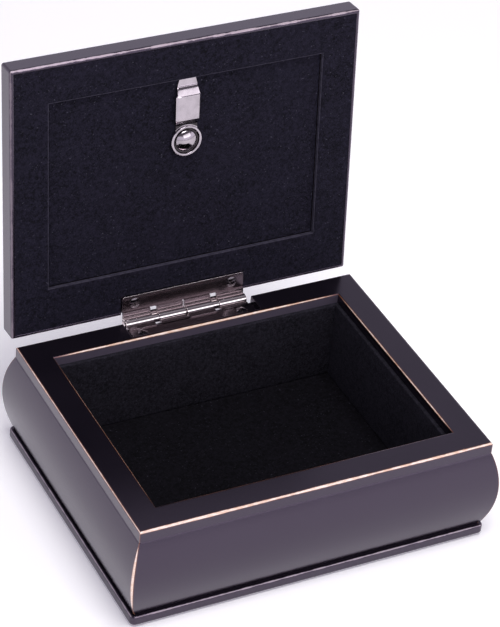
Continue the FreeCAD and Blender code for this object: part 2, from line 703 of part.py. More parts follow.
def make_screw(name):
    """A cross-slotted countersunk screw, head at the origin, pointing down."""
    body = new_body(name)
    point = "(screw_radius * 1.2)"
    crown = "(screw_head_radius * screw_head_radius + screw_dome * screw_dome) / (2 * screw_dome)"
    revolve(
        body, "turned",
        [
            ("0", "-screw_length"),
            ("screw_radius", f"{point} - screw_length"),
            ("screw_radius", "-leaf_thickness"),
            ("screw_head_radius", "0", crown),
            ("0", "screw_dome"),
        ],
    )
    half, width = "(screw_slot_length / 2)", "(screw_slot_width / 2)"
    low = "(screw_dome - screw_slot_sink)"
    for number, (across, along) in enumerate(((half, width), (width, half))):
        bar = rectangle(f"-{across}", f"-{along}", across, along)
        extrude(body, f"slot_{number}", "XY_Plane", low, "screw_slot_sink", [bar], cut=True)
    return body


def make_screws():
    base_screws, lid_screws = [], []
    for number, side in enumerate((-1, 1)):
        screw = make_screw(f"base_screw_{number}")
        place(screw, f"{side} * base_screw_spread / 2", f"{AXIS_Y} - base_screw_reach", BASE_LEAF_TOP)
        base_screws.append(screw)
        screw = make_screw(f"lid_screw_{number}")
        row = f"({AXIS_Y} - lid_screw_reach)"
        on_lid(screw, f"{side} * lid_screw_spread / 2", row, PLATE_FRONT_Z, flip="180")
        lid_screws.append(screw)
    return [join_group("base_leaf_screws", base_screws), join_group("lid_leaf_screws", lid_screws)]


# ---- Clip and rivet -----------------------------------------------------------------------------


def make_rivet():
    """A domed rivet through the backing board. Its local +Z points out of the board."""
    body = new_body("clip_rivet")
    head_low = "(clip_lift + clip_thickness + clip_play)"
    depth = "(backing_velvet_thickness + board_thickness)"
    dome = "(rivet_dome_radius * rivet_dome_radius + rivet_dome_height * rivet_dome_height)"
    revolve(
        body, "turned",
        [
            ("0", f"-{depth}"),
            ("rivet_foot_radius", f"-{depth}"),
            ("rivet_foot_radius", f"rivet_foot_thickness - {depth}"),
            ("rivet_radius", f"rivet_foot_thickness - {depth}"),
            ("rivet_radius", head_low),
            ("rivet_dome_radius", head_low, f"{dome} / (2 * rivet_dome_height)"),
            ("0", f"{head_low} + rivet_dome_height"),
        ],
    )
    on_lid(body, "0", RIVET_Y, PANEL_Z, flip="180")
    return body


def make_clip():
    """The turning clip: a dished ring under the rivet's head, and a cranked strap whose tip tucks
    under the recess's edge. Local +Y runs along the strap and +Z out of the board."""
    body = new_body("retaining_clip")
    low, high = "clip_lift", "(clip_lift + clip_thickness)"
    hole = "(rivet_radius + pin_clearance)"
    rim_in = "(ring_radius - ring_wall)"
    revolve(
        body, "ring",
        [
            (hole, low),
            ("ring_radius", low),
            ("ring_radius", f"{low} + ring_rise", "ring_wall * 0.9"),
            (rim_in, f"{low} + ring_rise"),
            (rim_in, high),
            (hole, high),
        ],
    )
    root = "(ring_radius - ring_wall)"
    tip_end = "(rivet_setback + tip_tuck)"
    flat, flat_top = "strap_height", "(strap_height + clip_thickness)"
    strap_piece(body, "neck", "neck_width", [(root, low), ("neck_end", low), ("neck_end", high), (root, high)])
    strap_piece(
        body, "riser", "neck_width",
        [
            ("neck_end - clip_thickness", low),
            ("neck_end", low),
            ("strap_start + clip_thickness", flat),
            ("strap_start + clip_thickness", flat_top),
            ("strap_start", flat_top),
            ("neck_end - clip_thickness", high),
        ],
    )
    strap_piece(
        body, "flat", "strap_width",
        [("strap_start", flat), (STRAP_END, flat), (STRAP_END, flat_top), ("strap_start", flat_top)],
    )
    strap_piece(
        body, "slope", "tip_width",
        [
            (f"{STRAP_END} - 0.3", flat),
            (TIP_START, low),
            (f"{TIP_START} + 0.3", high),
            (STRAP_END, flat_top),
            (f"{STRAP_END} - 0.3", flat_top),
        ],
    )
    wide, narrow = "(tip_width / 2)", "(tip_end_width / 2)"
    tip = [
        (f"-{wide}", TIP_START), (wide, TIP_START), (wide, f"{TIP_START} + 0.8"),
        (narrow, "rivet_setback - 0.4"), (narrow, tip_end),
        (f"-{narrow}", tip_end), (f"-{narrow}", "rivet_setback - 0.4"), (f"-{wide}", f"{TIP_START} + 0.8"),
    ]
    extrude(body, "tip", "XY_Plane", low, "clip_thickness", [tip])
    on_lid(body, "0", RIVET_Y, PANEL_Z, flip="180")
    return body


def strap_piece(body, name, width, corners):
    """A stretch of the strap, drawn in side view and as wide as stated."""
    extrude(body, name, "YZ_Plane", f"-{width} / 2", width, [corners])


# ---- Build, test and write ----------------------------------------------------------------------

nodes = [make_plinth(), make_felt()]
nodes += make_walls()
nodes += make_linings()
nodes += [make_lid_frame(), make_lid_velvet()]
nodes += make_lid_sheets()
nodes += [make_base_leaf(), make_lid_leaf(), make_pin(), make_collars()]
nodes += make_screws()
nodes += [make_rivet(), make_clip()]
doc.recompute()

for item in doc.Objects:
    if "Invalid" in item.State or "Error" in item.State:
        raise RuntimeError(f"{item.Name} failed: {item.State}")
for item in nodes:
    if item.Shape.isNull() or not item.Shape.isValid() or not item.Shape.Solids:
        raise RuntimeError(f"{item.Label} has no valid shape")

os.makedirs("parts", exist_ok=True)
for item in nodes:
    item.Shape.exportStep(f"parts/{item.Label}.step")
    print(f"{item.Label}: {len(item.Shape.Solids)} solid(s), {item.Shape.Volume:.1f} mm3")
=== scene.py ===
import json
import math

import bmesh
import bpy
from mathutils import Matrix, Vector, noise


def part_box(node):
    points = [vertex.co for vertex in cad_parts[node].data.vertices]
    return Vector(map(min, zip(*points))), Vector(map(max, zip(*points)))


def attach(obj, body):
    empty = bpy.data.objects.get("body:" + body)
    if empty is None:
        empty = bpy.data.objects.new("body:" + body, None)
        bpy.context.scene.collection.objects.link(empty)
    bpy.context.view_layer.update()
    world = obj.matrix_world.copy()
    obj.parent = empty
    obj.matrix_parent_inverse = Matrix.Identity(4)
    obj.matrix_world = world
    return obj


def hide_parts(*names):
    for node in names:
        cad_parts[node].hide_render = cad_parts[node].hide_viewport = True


MM = 0.001

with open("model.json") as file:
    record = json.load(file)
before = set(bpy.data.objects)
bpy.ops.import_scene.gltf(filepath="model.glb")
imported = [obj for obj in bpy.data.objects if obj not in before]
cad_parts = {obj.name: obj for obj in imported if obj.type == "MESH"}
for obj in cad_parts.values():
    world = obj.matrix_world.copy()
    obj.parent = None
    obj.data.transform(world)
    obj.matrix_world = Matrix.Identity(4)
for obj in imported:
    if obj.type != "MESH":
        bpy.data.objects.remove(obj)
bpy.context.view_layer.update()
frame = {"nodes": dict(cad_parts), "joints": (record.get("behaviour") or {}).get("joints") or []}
nodes = frame["nodes"]
scene = bpy.context.scene

lid_joint = next(joint for joint in frame["joints"] if joint["name"] == "lid_hinge")
hinge_axis = Vector(lid_joint["pos_m"])
open_angle = math.radians(lid_joint["range_deg"][1])
swivel = next(joint for joint in frame["joints"] if joint["name"] == "clip_swivel")
rivet_axis = Vector(swivel["axis"])
rivet_spot = Vector(swivel["pos_m"])
at_hinge = Matrix.Translation(hinge_axis)
lid_open = at_hinge @ Matrix.Rotation(-open_angle, 4, "X")
to_open = lid_open @ Matrix.Translation(-hinge_axis)
to_shut = to_open.inverted()


def shut_box(node):
    """A lid node's lowest and highest corners with the lid shut."""
    spots = [to_shut @ vert.co for vert in nodes[node].data.vertices]
    low = Vector(min(spot[axis] for spot in spots) for axis in range(3))
    high = Vector(max(spot[axis] for spot in spots) for axis in range(3))
    return low, high


panel_low, panel_high = shut_box("backing_velvet")
border_low, border_high = shut_box("lid_velvet")
leaf_low, leaf_high = shut_box("hinge_lid_leaf")


# ---- Shader nodes -------------------------------------------------------------------------------


class Shader:
    """A node material under construction. Values are node sockets or plain numbers."""

    def __init__(self, name):
        self.material = bpy.data.materials.new(name)
        self.material.use_nodes = True
        self.tree = self.material.node_tree
        self.surface = self.tree.nodes["Principled BSDF"]

    def node(self, kind, inputs=None, **settings):
        made = self.tree.nodes.new(kind)
        for name, setting in settings.items():
            setattr(made, name, setting)
        for key, value in (inputs or {}).items():
            self.feed(made.inputs[key], value)
        return made

    def feed(self, socket, value):
        if isinstance(value, bpy.types.NodeSocket):
            self.tree.links.new(value, socket)
        else:
            socket.default_value = value

    def set(self, **values):
        """Feed the Principled shader. Underscores in a name stand for spaces."""
        for name, value in values.items():
            self.feed(self.surface.inputs[name.replace("_", " ")], value)

    def math(self, operation, *values, clamp=False):
        made = self.node("ShaderNodeMath", operation=operation, use_clamp=clamp)
        for socket, value in zip(made.inputs, values):
            self.feed(socket, value)
        return made.outputs[0]

    def position(self):
        return self.node("ShaderNodeTexCoord").outputs["Object"]

    def axes(self, lid_shut=False):
        """The position's three parts, in millimetres. lid_shut gives a place on the lid as if it were
        shut."""
        place = self.position()
        if lid_shut:
            turned = {"Vector": place, "Center": tuple(hinge_axis), "Angle": open_angle}
            place = self.node("ShaderNodeVectorRotate", turned, rotation_type="X_AXIS").outputs[0]
        scaled = self.node("ShaderNodeVectorMath", {0: place, 1: (1000, 1000, 1000)}, operation="MULTIPLY")
        parts = self.node("ShaderNodeSeparateXYZ", {0: scaled.outputs[0]})
        return parts.outputs[0], parts.outputs[1], parts.outputs[2]

    def beyond(self, x, y, low, high):
        """How far a place lies outside a box's plan, in millimetres, and whether it is nearer a side
        than an end. Less than nothing inside."""
        parts = []
        for value, axis in ((x, 0), (y, 1)):
            middle, half = (low[axis] + high[axis]) / 2 / MM, (high[axis] - low[axis]) / 2 / MM
            away = self.math("ABSOLUTE", self.math("SUBTRACT", value, middle))
            parts.append(self.math("SUBTRACT", away, half))
        return self.math("MAXIMUM", *parts), self.math("GREATER_THAN", *parts)

    def hypotenuse(self, first, second):
        squares = self.math("POWER", first, 2.0), self.math("POWER", second, 2.0)
        return self.math("SQRT", self.math("ADD", *squares))

    def from_line(self, point, direction):
        """Distance from a line, in millimetres."""
        spots = {0: self.position(), 1: tuple(point)}
        away = self.node("ShaderNodeVectorMath", spots, operation="SUBTRACT")
        turned = self.node(
            "ShaderNodeVectorMath", {0: away.outputs[0], 1: tuple(direction)}, operation="CROSS_PRODUCT"
        )
        length = self.node("ShaderNodeVectorMath", {0: turned.outputs[0]}, operation="LENGTH")
        return self.math("MULTIPLY", length.outputs["Value"], 1000.0)

    def noise(self, scale, detail=3.0, roughness=0.55, stretch=(1, 1, 1), distortion=0.0):
        """Noise whose scale is in features per metre."""
        place = self.node("ShaderNodeMapping", {"Vector": self.position(), "Scale": stretch})
        made = self.node(
            "ShaderNodeTexNoise",
            {"Vector": place.outputs[0], "Scale": scale, "Detail": detail, "Roughness": roughness,
             "Distortion": distortion},
        )
        return made.outputs["Fac"]

    def spread(self, value, low, high, to_low=0.0, to_high=1.0):
        """Map low..high to to_low..to_high, smoothly and clamped."""
        made = self.node(
            "ShaderNodeMapRange",
            {"Value": value, "From Min": low, "From Max": high, "To Min": to_low, "To Max": to_high},
            interpolation_type="SMOOTHSTEP",
        )
        return made.outputs[0]

    def mix(self, factor, first, second):
        made = self.node("ShaderNodeMix", {0: factor}, data_type="RGBA")
        self.feed(made.inputs[6], first)
        self.feed(made.inputs[7], second)
        return made.outputs[2]

    def bump(self, height, distance, strength=1.0, normal=None):
        made = self.node("ShaderNodeBump", {"Height": height, "Distance": distance, "Strength": strength})
        if normal is not None:
            self.feed(made.inputs["Normal"], normal)
        return made.outputs[0]


def rgba(red, green, blue):
    return (red, green, blue, 1.0)


# ---- Materials ----------------------------------------------------------------------------------

LACQUER = rgba(0.0042, 0.0034, 0.0052)
LACQUER_TINT = rgba(0.88, 0.72, 1.0)
# Bare wood where the lacquer is rubbed through, lightened nearly to white as a painted highlight
BARE_WOOD_HIGHLIT = rgba(0.98, 0.85, 0.74)
WORN_WOOD = rgba(0.76, 0.50, 0.33)
STAIN = rgba(0.14, 0.052, 0.020)
# Pale tone painted on the back wall's strip above the lining, as painted light falling there
PAINTED_LIGHT_BAND_TONE = rgba(0.062, 0.053, 0.072)
# Tone of the painted highlight along the lid's and plinth's rounded arrises
ARRIS_HIGHLIGHT_TONE = rgba(0.40, 0.34, 0.36)


def lacquer(name, wear_and_painted_light=None):
    """Satin black lacquer. Its second argument gives the layers that show through or lie on it, real
    wear and painted light among them: each a mask, a tone and an added roughness; and how far a place
    is from a mitre."""
    shade = Shader(name)
    cloud = shade.noise(22, detail=2)
    orange_peel = shade.noise(420, detail=1)
    tone = shade.mix(shade.spread(cloud, 0.35, 0.65), LACQUER, rgba(0.0055, 0.0044, 0.0066))
    roughness = shade.math("ADD", shade.math("MULTIPLY", cloud, 0.06), 0.17)
    shade.set(IOR=1.5, Specular_IOR_Level=0.92, Specular_Tint=LACQUER_TINT)
    eased = shade.node("ShaderNodeBevel", {"Radius": 0.8 * MM}, samples=6).outputs[0]
    if wear_and_painted_light is not None:
        layers, off_joint = wear_and_painted_light(shade)
        plain = shade.node("ShaderNodeNewGeometry").outputs["Normal"]
        blend = shade.node("ShaderNodeMix", {0: shade.spread(off_joint, 0.9, 1.3)}, data_type="VECTOR")
        shade.feed(blend.inputs[4], plain)
        shade.feed(blend.inputs[5], eased)
        eased = blend.outputs[1]
        for mask, layer_tone, added in layers:
            tone = shade.mix(mask, tone, layer_tone)
            roughness = shade.math("ADD", roughness, shade.math("MULTIPLY", mask, added))
    peel = shade.bump(orange_peel, 0.00001, 0.25, eased)
    shade.set(Base_Color=tone, Roughness=roughness, Normal=peel)
    return shade.material


RIM_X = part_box("wall_front")[1].x / MM - 4.9
RIM_Y = -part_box("wall_front")[0].y / MM - 4.9
RIM_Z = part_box("wall_front")[1].z / MM
RIM_WIDTH = 15.3
NECK_Z = RIM_Z - 6.7


def wall_wear_and_painted_light(shade):
    """Worn places on the walls: both arrises of the rim and the corners of the bulge, where the bared
    wood is lightened as a painted highlight; and painted light on the strip above the lining on the back
    wall."""
    x, y, z = shade.axes()
    across, along = shade.math("ABSOLUTE", x), shade.math("ABSOLUTE", y)
    side, end = shade.math("SUBTRACT", across, RIM_X), shade.math("SUBTRACT", along, RIM_Y)
    out = shade.math("MAXIMUM", side, end)
    fine, coarse = shade.noise(300, detail=3), shade.noise(24, detail=2)
    on_side = shade.math("GREATER_THAN", side, end)
    right, back = shade.math("GREATER_THAN", x, 0.0), shade.math("GREATER_THAN", y, 0.0)

    def pick(factor, when_off, when_on):
        """when_off where the factor is 0 and when_on where it is 1."""
        step = shade.math("MULTIPLY", factor, shade.math("SUBTRACT", when_on, when_off))
        return shade.math("ADD", step, when_off)

    def by_wall(front, rear, left, other):
        return pick(on_side, pick(back, front, rear), pick(right, left, other))

    def arris(offset, width):
        """Nearness to the rim's edge at that distance from the outer face."""
        away = shade.math("SUBTRACT", out, offset)
        down = shade.math("SUBTRACT", z, RIM_Z - 0.26)
        reach = shade.hypotenuse(away, down)
        ragged = shade.math("ADD", shade.math("MULTIPLY", fine, 0.45), shade.math("MULTIPLY", coarse, 1.2))
        return shade.math("SUBTRACT", shade.math("MULTIPLY", ragged, width), reach)

    side_run = shade.math("DIVIDE", across, RIM_X - RIM_WIDTH)
    end_run = shade.math("DIVIDE", along, RIM_Y - RIM_WIDTH)
    run = pick(on_side, side_run, end_run)
    fading = shade.math("SUBTRACT", 1.0, shade.math("POWER", run, 6.0), clamp=True)
    outer = arris(-0.26, by_wall(0.85, 0.2, 0.42, 0.22))
    inner = arris(0.16 - RIM_WIDTH, shade.math("MULTIPLY", fading, by_wall(0.25, 0.85, 0.36, 0.6)))
    near = shade.math("MAXIMUM", outer, inner)
    rubbed = shade.spread(near, -0.02, 0.40)
    stained = shade.spread(near, -0.40, 0.05)

    off_mitre = shade.math("ABSOLUTE", shade.math("SUBTRACT", side, end))
    middle = (NECK_Z + 12) / 2
    taper = shade.math("DIVIDE", shade.math("SUBTRACT", z, middle), NECK_Z - middle - 1.0)
    thinning = shade.math("POWER", shade.math("ABSOLUTE", taper), 3.0)
    fullness = shade.math("SUBTRACT", 1.0, thinning, clamp=True)
    ragged = shade.math("ADD", 0.55, shade.math("MULTIPLY", coarse, 0.9))
    left, front = shade.math("SUBTRACT", 1.0, right), shade.math("SUBTRACT", 1.0, back)
    front_left = shade.math("MULTIPLY", left, front)
    strength = shade.math("SUBTRACT", shade.math("MULTIPLY", front_left, 1.05), 0.05)
    width = shade.math("MULTIPLY", shade.math("MULTIPLY", fullness, ragged), strength)
    outside = shade.spread(out, -1.5, -0.2)
    sliver = shade.math("SUBTRACT", width, off_mitre)
    corner = shade.math("MULTIPLY", shade.spread(sliver, -0.05, 0.2), outside)
    corner_stain = shade.math("MULTIPLY", shade.spread(sliver, -0.7, 0.0), outside)

    # Painted light: the back wall's strip above the lining is painted pale where light falls on it
    inside = shade.spread(out, 0.4 - RIM_WIDTH, 0.05 - RIM_WIDTH)
    rear_wall = shade.math("MULTIPLY", back, shade.math("SUBTRACT", 1.0, on_side))
    painted_light_band = shade.math("MULTIPLY", shade.math("MULTIPLY", inside, rear_wall), shade.math("ADD", 0.7, fine))
    # The rubbed-through wood, real wear whose pale end is a painted highlight
    fibres = shade.noise(260, detail=4, stretch=(1, 1, 6))
    bare_wood_highlit = shade.mix(shade.spread(fibres, 0.3, 0.7), BARE_WOOD_HIGHLIT, WORN_WOOD)
    layers = (
        (shade.math("MINIMUM", painted_light_band, 1.0), PAINTED_LIGHT_BAND_TONE, 0.3),
        (shade.math("MAXIMUM", stained, corner_stain), STAIN, 0.0),
        (shade.math("MAXIMUM", rubbed, corner), bare_wood_highlit, 0.12),
    )
    return layers, off_mitre


LID_ROUND = 1.4
PLINTH_ROUND = 1.3


def arris_painted_highlight(shade, low, high, face, rounding, width, by_side, lid_shut=False):
    """A painted highlight: a pale, ragged line along the middle of the rounding between a board's edge
    and one face. by_side is its strength at the left and right."""
    x, y, z = shade.axes(lid_shut)
    out, on_side = shade.beyond(x, y, low, high)
    inset = rounding * (1 - math.cos(math.radians(45)))
    away = shade.math("ADD", out, inset)
    down = shade.math("ABSOLUTE", shade.math("SUBTRACT", z, face / MM))
    reach = shade.hypotenuse(away, shade.math("SUBTRACT", down, inset))
    ragged = shade.spread(shade.noise(150, detail=4), 0.36, 0.62, 0.35, 1.15)
    near = shade.math("SUBTRACT", shade.math("MULTIPLY", ragged, width), reach)
    strength = shade.math("SUBTRACT", 1.0, shade.math("MULTIPLY", on_side, 1.0 - by_side))
    mask = shade.math("MULTIPLY", shade.spread(near, -0.25, 0.2), strength)
    return ((mask, ARRIS_HIGHLIGHT_TONE, 0.05),), 2.0


def lid_painted_highlight(shade):
    low, high = shut_box("lid_frame")
    return arris_painted_highlight(
        shade, low, high, face=low.z, rounding=LID_ROUND, width=0.55, by_side=0.35, lid_shut=True
    )


def plinth_painted_highlight(shade):
    low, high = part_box("plinth")
    return arris_painted_highlight(shade, low, high, face=high.z, rounding=PLINTH_ROUND, width=0.32, by_side=0.8)


def velvet(name, tone, sheen=0.35, speckle=0.5, bend_highlight=None):
    """Short black pile. The sheen gives the pale bloom, and the noise the loose fibres, and specks that
    stand for both lint and painted glints off the fibres. The last argument gives a mask along a bend
    that is painted pale as a highlight."""
    shade = Shader(name)
    fibre = shade.noise(1100, detail=3, roughness=0.75)
    mottle = shade.noise(420, detail=2, roughness=0.6)
    patch = shade.noise(45, detail=3)
    lint_and_glints = shade.noise(1000, detail=1, roughness=0.4)
    tone_low = rgba(*(0.35 * c for c in tone))
    tone_high = rgba(*(2.1 * c for c in tone))
    pile = shade.math("ADD", shade.math("MULTIPLY", fibre, 0.65), shade.math("MULTIPLY", mottle, 0.35))
    base = shade.mix(shade.spread(pile, 0.36, 0.66), tone_low, tone_high)
    base = shade.mix(shade.math("MULTIPLY", shade.spread(patch, 0.35, 0.7), 0.25), base, tone_high)
    # Pale specks: lint, and painted glints of the fibres' sheen
    lint_and_glint_specks = shade.math("MULTIPLY", shade.spread(lint_and_glints, 0.70, 0.78), speckle)
    base = shade.mix(lint_and_glint_specks, base, rgba(0.055, 0.053, 0.07))
    if bend_highlight is not None:
        # Painted highlight along the bend
        base = shade.mix(bend_highlight(shade), base, rgba(0.050, 0.046, 0.064))
    shade.set(
        Base_Color=base, Roughness=0.95, Specular_IOR_Level=0.1, Sheen_Weight=sheen, Sheen_Roughness=0.4,
        Sheen_Tint=rgba(0.55, 0.52, 0.8), Normal=shade.bump(pile, 0.0003, 0.5),
    )
    return shade.material


def recess_rim_highlight(shade):
    """Painted highlight: a pale line along the bend where the lid's velvet turns down into the recess."""
    x, y, _ = shade.axes(lid_shut=True)
    gap = Vector((0.4 * MM, 0.4 * MM, 0))
    out, _ = shade.beyond(x, y, panel_low - gap, panel_high + gap)
    ragged = shade.math("MULTIPLY", shade.noise(500, detail=2), 1.3, clamp=True)
    return shade.math("MULTIPLY", shade.spread(shade.math("ABSOLUTE", out), 0.45, 0.15), ragged)


def plated(name, tone, roughness, painted_shade_tone=None, line=None, bands=()):
    """Nickel plate over steel, with faint polishing marks and thin tarnish. It is painted darker, as
    painted shade, where its distance from a line is in one of the bands, in millimetres."""
    shade = Shader(name)
    tarnish = shade.noise(140, detail=4)
    marks = shade.noise(500, detail=2, stretch=(1, 6, 1))
    dark = rgba(*(0.78 * c for c in tone))
    colour = shade.mix(shade.spread(tarnish, 0.35, 0.75), rgba(*tone), dark)
    rough = shade.math("ADD", roughness, shade.math("MULTIPLY", tarnish, 0.08))
    if line is not None:
        away = shade.from_line(*line)
        painted_shade = 0.0
        for low, high in bands:
            entered, left = shade.spread(away, low - 0.2, low), shade.spread(away, high, high + 0.2)
            painted_shade = shade.math("MAXIMUM", painted_shade, shade.math("SUBTRACT", entered, left))
        # Painted shade over the bands
        colour = shade.mix(painted_shade, colour, rgba(*painted_shade_tone))
        rough = shade.math("ADD", rough, shade.math("MULTIPLY", painted_shade, 0.10))
    shade.set(Metallic=1.0, Base_Color=colour, Roughness=rough, Normal=shade.bump(marks, 0.000003, 0.3))
    return shade.material


def glass(name):
    shade = Shader(name)
    smear = shade.noise(30, detail=3)
    rough = shade.math("MULTIPLY", shade.spread(smear, 0.5, 0.8), 0.03)
    shade.set(Base_Color=rgba(0.95, 0.985, 0.975), Roughness=rough, Transmission_Weight=1.0, IOR=1.5)
    return shade.material


def paper(name):
    """A blank card with a faint laid texture."""
    shade = Shader(name)
    laid = shade.noise(700, detail=3, stretch=(1, 1, 8))
    colour = shade.mix(laid, rgba(0.72, 0.69, 0.62), rgba(0.80, 0.78, 0.72))
    shade.set(Base_Color=colour, Roughness=0.75, Normal=shade.bump(laid, 0.00003, 0.3))
    return shade.material


def hardboard(name):
    shade = Shader(name)
    chips = shade.noise(350, detail=5, roughness=0.7, distortion=0.4)
    colour = shade.mix(shade.spread(chips, 0.3, 0.7), rgba(0.20, 0.12, 0.065), rgba(0.34, 0.22, 0.13))
    shade.set(Base_Color=colour, Roughness=0.85, Normal=shade.bump(chips, 0.00008, 0.5))
    return shade.material


def floor_finish(name):
    shade = Shader(name)
    haze = shade.noise(3, detail=2)
    colour = shade.mix(haze, rgba(0.94, 0.965, 0.90), rgba(0.96, 0.98, 0.92))
    shade.set(Base_Color=colour, Roughness=0.6, Specular_IOR_Level=0.2)
    shade.set(Emission_Color=rgba(1.0, 0.90, 1.18), Emission_Strength=0.17)
    return shade.material


wall_lacquer = lacquer("lacquer_walls", wall_wear_and_painted_light)
lid_lacquer = lacquer("lacquer_lid", lid_painted_highlight)
plinth_lacquer = lacquer("lacquer_plinth", plinth_painted_highlight)
# One velvet in lit and shaded copies: painted darker on the well's floor and lighter on its sides
floor_pile_shaded = velvet("velvet_well_floor_shaded", (0.0030, 0.0027, 0.0040), sheen=0.02)
side_pile_lit = velvet("velvet_well_sides_lit", (0.0105, 0.0098, 0.0135), sheen=0.05)
LID_VELVET = dict(tone=(0.0070, 0.0063, 0.0114), sheen=0.06, speckle=0.8)
lid_pile = velvet("velvet_lid", **LID_VELVET)
lid_border_pile = velvet("velvet_lid_border", bend_highlight=recess_rim_highlight, **LID_VELVET)
felt_finish = velvet("felt_black", (0.012, 0.012, 0.013), sheen=0.2, speckle=0.2)
# Painted shade: the hinge's leaves are painted darker than its barrel, and the clip nearly black in its
# dish and on its riser
hinge_nickel = plated(
    "hinge_nickel", (0.78, 0.71, 0.70), 0.04,
    painted_shade_tone=(0.27, 0.225, 0.24), line=(hinge_axis, (1, 0, 0)), bands=((3.4, 15.0),),
)
screw_nickel = plated("screw_nickel", (0.26, 0.235, 0.25), 0.10)
clip_nickel = plated(
    "clip_nickel", (0.47, 0.425, 0.46), 0.07,
    painted_shade_tone=(0.05, 0.044, 0.048), line=(rivet_spot, rivet_axis), bands=((1.0, 7.3), (9.5, 12.4)),
)
rivet_nickel = plated("rivet_nickel", (0.42, 0.38, 0.41), 0.07)


def dress(name, material):
    """Give a CAD node its material."""
    data = nodes[name].data
    data.materials.clear()
    data.materials.append(material)


for name in ("wall_front", "wall_back", "wall_left", "wall_right"):
    dress(name, wall_lacquer)
dress("plinth", plinth_lacquer)
dress("lid_frame", lid_lacquer)
dress("backing_board", hardboard("raw_board"))


# ---- Pieces made here ---------------------------------------------------------------------------


def piece(name, mesh, body, stands_for, material):
    """Link a finished mesh, let it ride on its body and hide the CAD node it stands for."""
    made = bpy.data.objects.new(name, mesh)
    scene.collection.objects.link(made)
    mesh.materials.clear()
    mesh.materials.append(material)
    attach(made, body)
    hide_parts(*stands_for)
    return made


def applied(made):
    """Apply an object's modifiers to its mesh."""
    mesh = bpy.data.meshes.new_from_object(made.evaluated_get(bpy.context.evaluated_depsgraph_get()))
    made.modifiers.clear()
    made.data = mesh
    return mesh


def prism(shape, outline, start, stop):
    """A bar along X between two stations, with an outline of (y, z) points. Millimetres."""
    ends = [[shape.verts.new((x * MM, y * MM, z * MM)) for y, z in outline] for x in (start, stop)]
    for ring in ends:
        shape.faces.new(ring)
    count = len(outline)
    for k in range(count):
        n = (k + 1) % count
        shape.faces.new((ends[0][k], ends[0][n], ends[1][n], ends[1][k]))


def round_bar(shape, radius, start, stop, count=56):
    turns = [2 * math.pi * k / count for k in range(count)]
    prism(shape, [(radius * math.cos(a), radius * math.sin(a)) for a in turns], start, stop)


def leaf_plate(shape, half, front, rear, corner, low, high, screws, face_up):
    """A leaf's plate with two rounded corners at its front and a countersunk hole for each screw."""
    outline = [(-half, rear), (half, rear)]
    for centre_x, start in ((half - corner, 0), (corner - half, -90)):
        for x, y in arc_points((centre_x, front + corner), corner, start, start - 90, 6):
            outline.append((x, y))
    wide, narrow = 3.05, 1.35
    loops = []
    for z, radius in ((low, narrow if face_up else wide), (high, wide if face_up else narrow)):
        rings = [[shape.verts.new((x * MM, y * MM, z * MM)) for x, y in outline]]
        for x, y in screws:
            turns = [2 * math.pi * k / 32 for k in range(32)]
            ring = [(x + radius * math.cos(a), y + radius * math.sin(a), z) for a in turns]
            rings.append([shape.verts.new((u * MM, v * MM, w * MM)) for u, v, w in ring])
        edges = []
        for ring in rings:
            edges += [shape.edges.new((ring[k], ring[(k + 1) % len(ring)])) for k in range(len(ring))]
        bmesh.ops.triangle_fill(shape, use_beauty=True, edges=edges)
        loops.append(rings)
    for bottom, top in zip(*loops):
        for k in range(len(bottom)):
            n = (k + 1) % len(bottom)
            shape.faces.new((bottom[k], bottom[n], top[n], top[k]))


def finished(shape, node, body, material, width, place):
    """Break the arrises of a hard shape drawn in its own frame, and put it where its CAD node is."""
    bmesh.ops.recalc_face_normals(shape, faces=shape.faces)
    shape.transform(place)
    mesh = bpy.data.meshes.new(node)
    shape.to_mesh(mesh)
    shape.free()
    mesh.shade_smooth()
    made = piece(f"{node}_finished", mesh, body, [node], material)
    bevel = made.modifiers.new("arris", "BEVEL")
    bevel.width = width
    bevel.segments = 3
    bevel.limit_method = "ANGLE"
    bevel.angle_limit = math.radians(30)
    bevel.use_clamp_overlap = False
    even = made.modifiers.new("even", "WEIGHTED_NORMAL")
    even.mode = "FACE_AREA"
    even.weight = 90
    mesh = applied(made)
    mesh.materials.clear()
    mesh.materials.append(material)
    return made


def box_outline(y_low, z_low, y_high, z_high):
    return [(y_low, z_low), (y_high, z_low), (y_high, z_high), (y_low, z_high)]


def arc_points(centre, radius, start, stop, count):
    """Points (across, up) along an arc, in degrees."""
    angles = [math.radians(start + (stop - start) * i / count) for i in range(count + 1)]
    return [(centre[0] + radius * math.cos(a), centre[1] + radius * math.sin(a)) for a in angles]


# The pane and the card behind the lid's window: flat sheets with clean arrises and a thin film of air
# between them, drawn with the lid shut
AIR = 0.06
for node, material, slot, width in (
    ("lid_glass", glass("window_glass"), "clear_glass", 0.2 * MM),
    ("photo_card", paper("blank_card"), "card", 0.05 * MM),
):
    low, high = (corner / MM for corner in shut_box(node))
    shape = bmesh.new()
    prism(shape, box_outline(low.y, low.z + AIR, high.y, high.z - AIR), low.x, high.x)
    finished(shape, node, "lid", material, width, to_open)

# The hinge, drawn about its axis in millimetres. The lid's leaf is drawn with the lid shut.
LEFT_KNUCKLES = ((-36.0, -19.8), (0.4, 16.0))
RIGHT_KNUCKLES = ((-16.0, -0.4), (19.8, 36.0))
LEAF = dict(half=36.2, front=-15.3, corner=1.6)
tilt = open_angle - math.radians(90)


def along_lid(along, across):
    """A point of the open lid's side view: so far along the lid and so far behind its face."""
    return (
        along * math.sin(tilt) + across * math.cos(tilt),
        along * math.cos(tilt) - across * math.sin(tilt),
    )


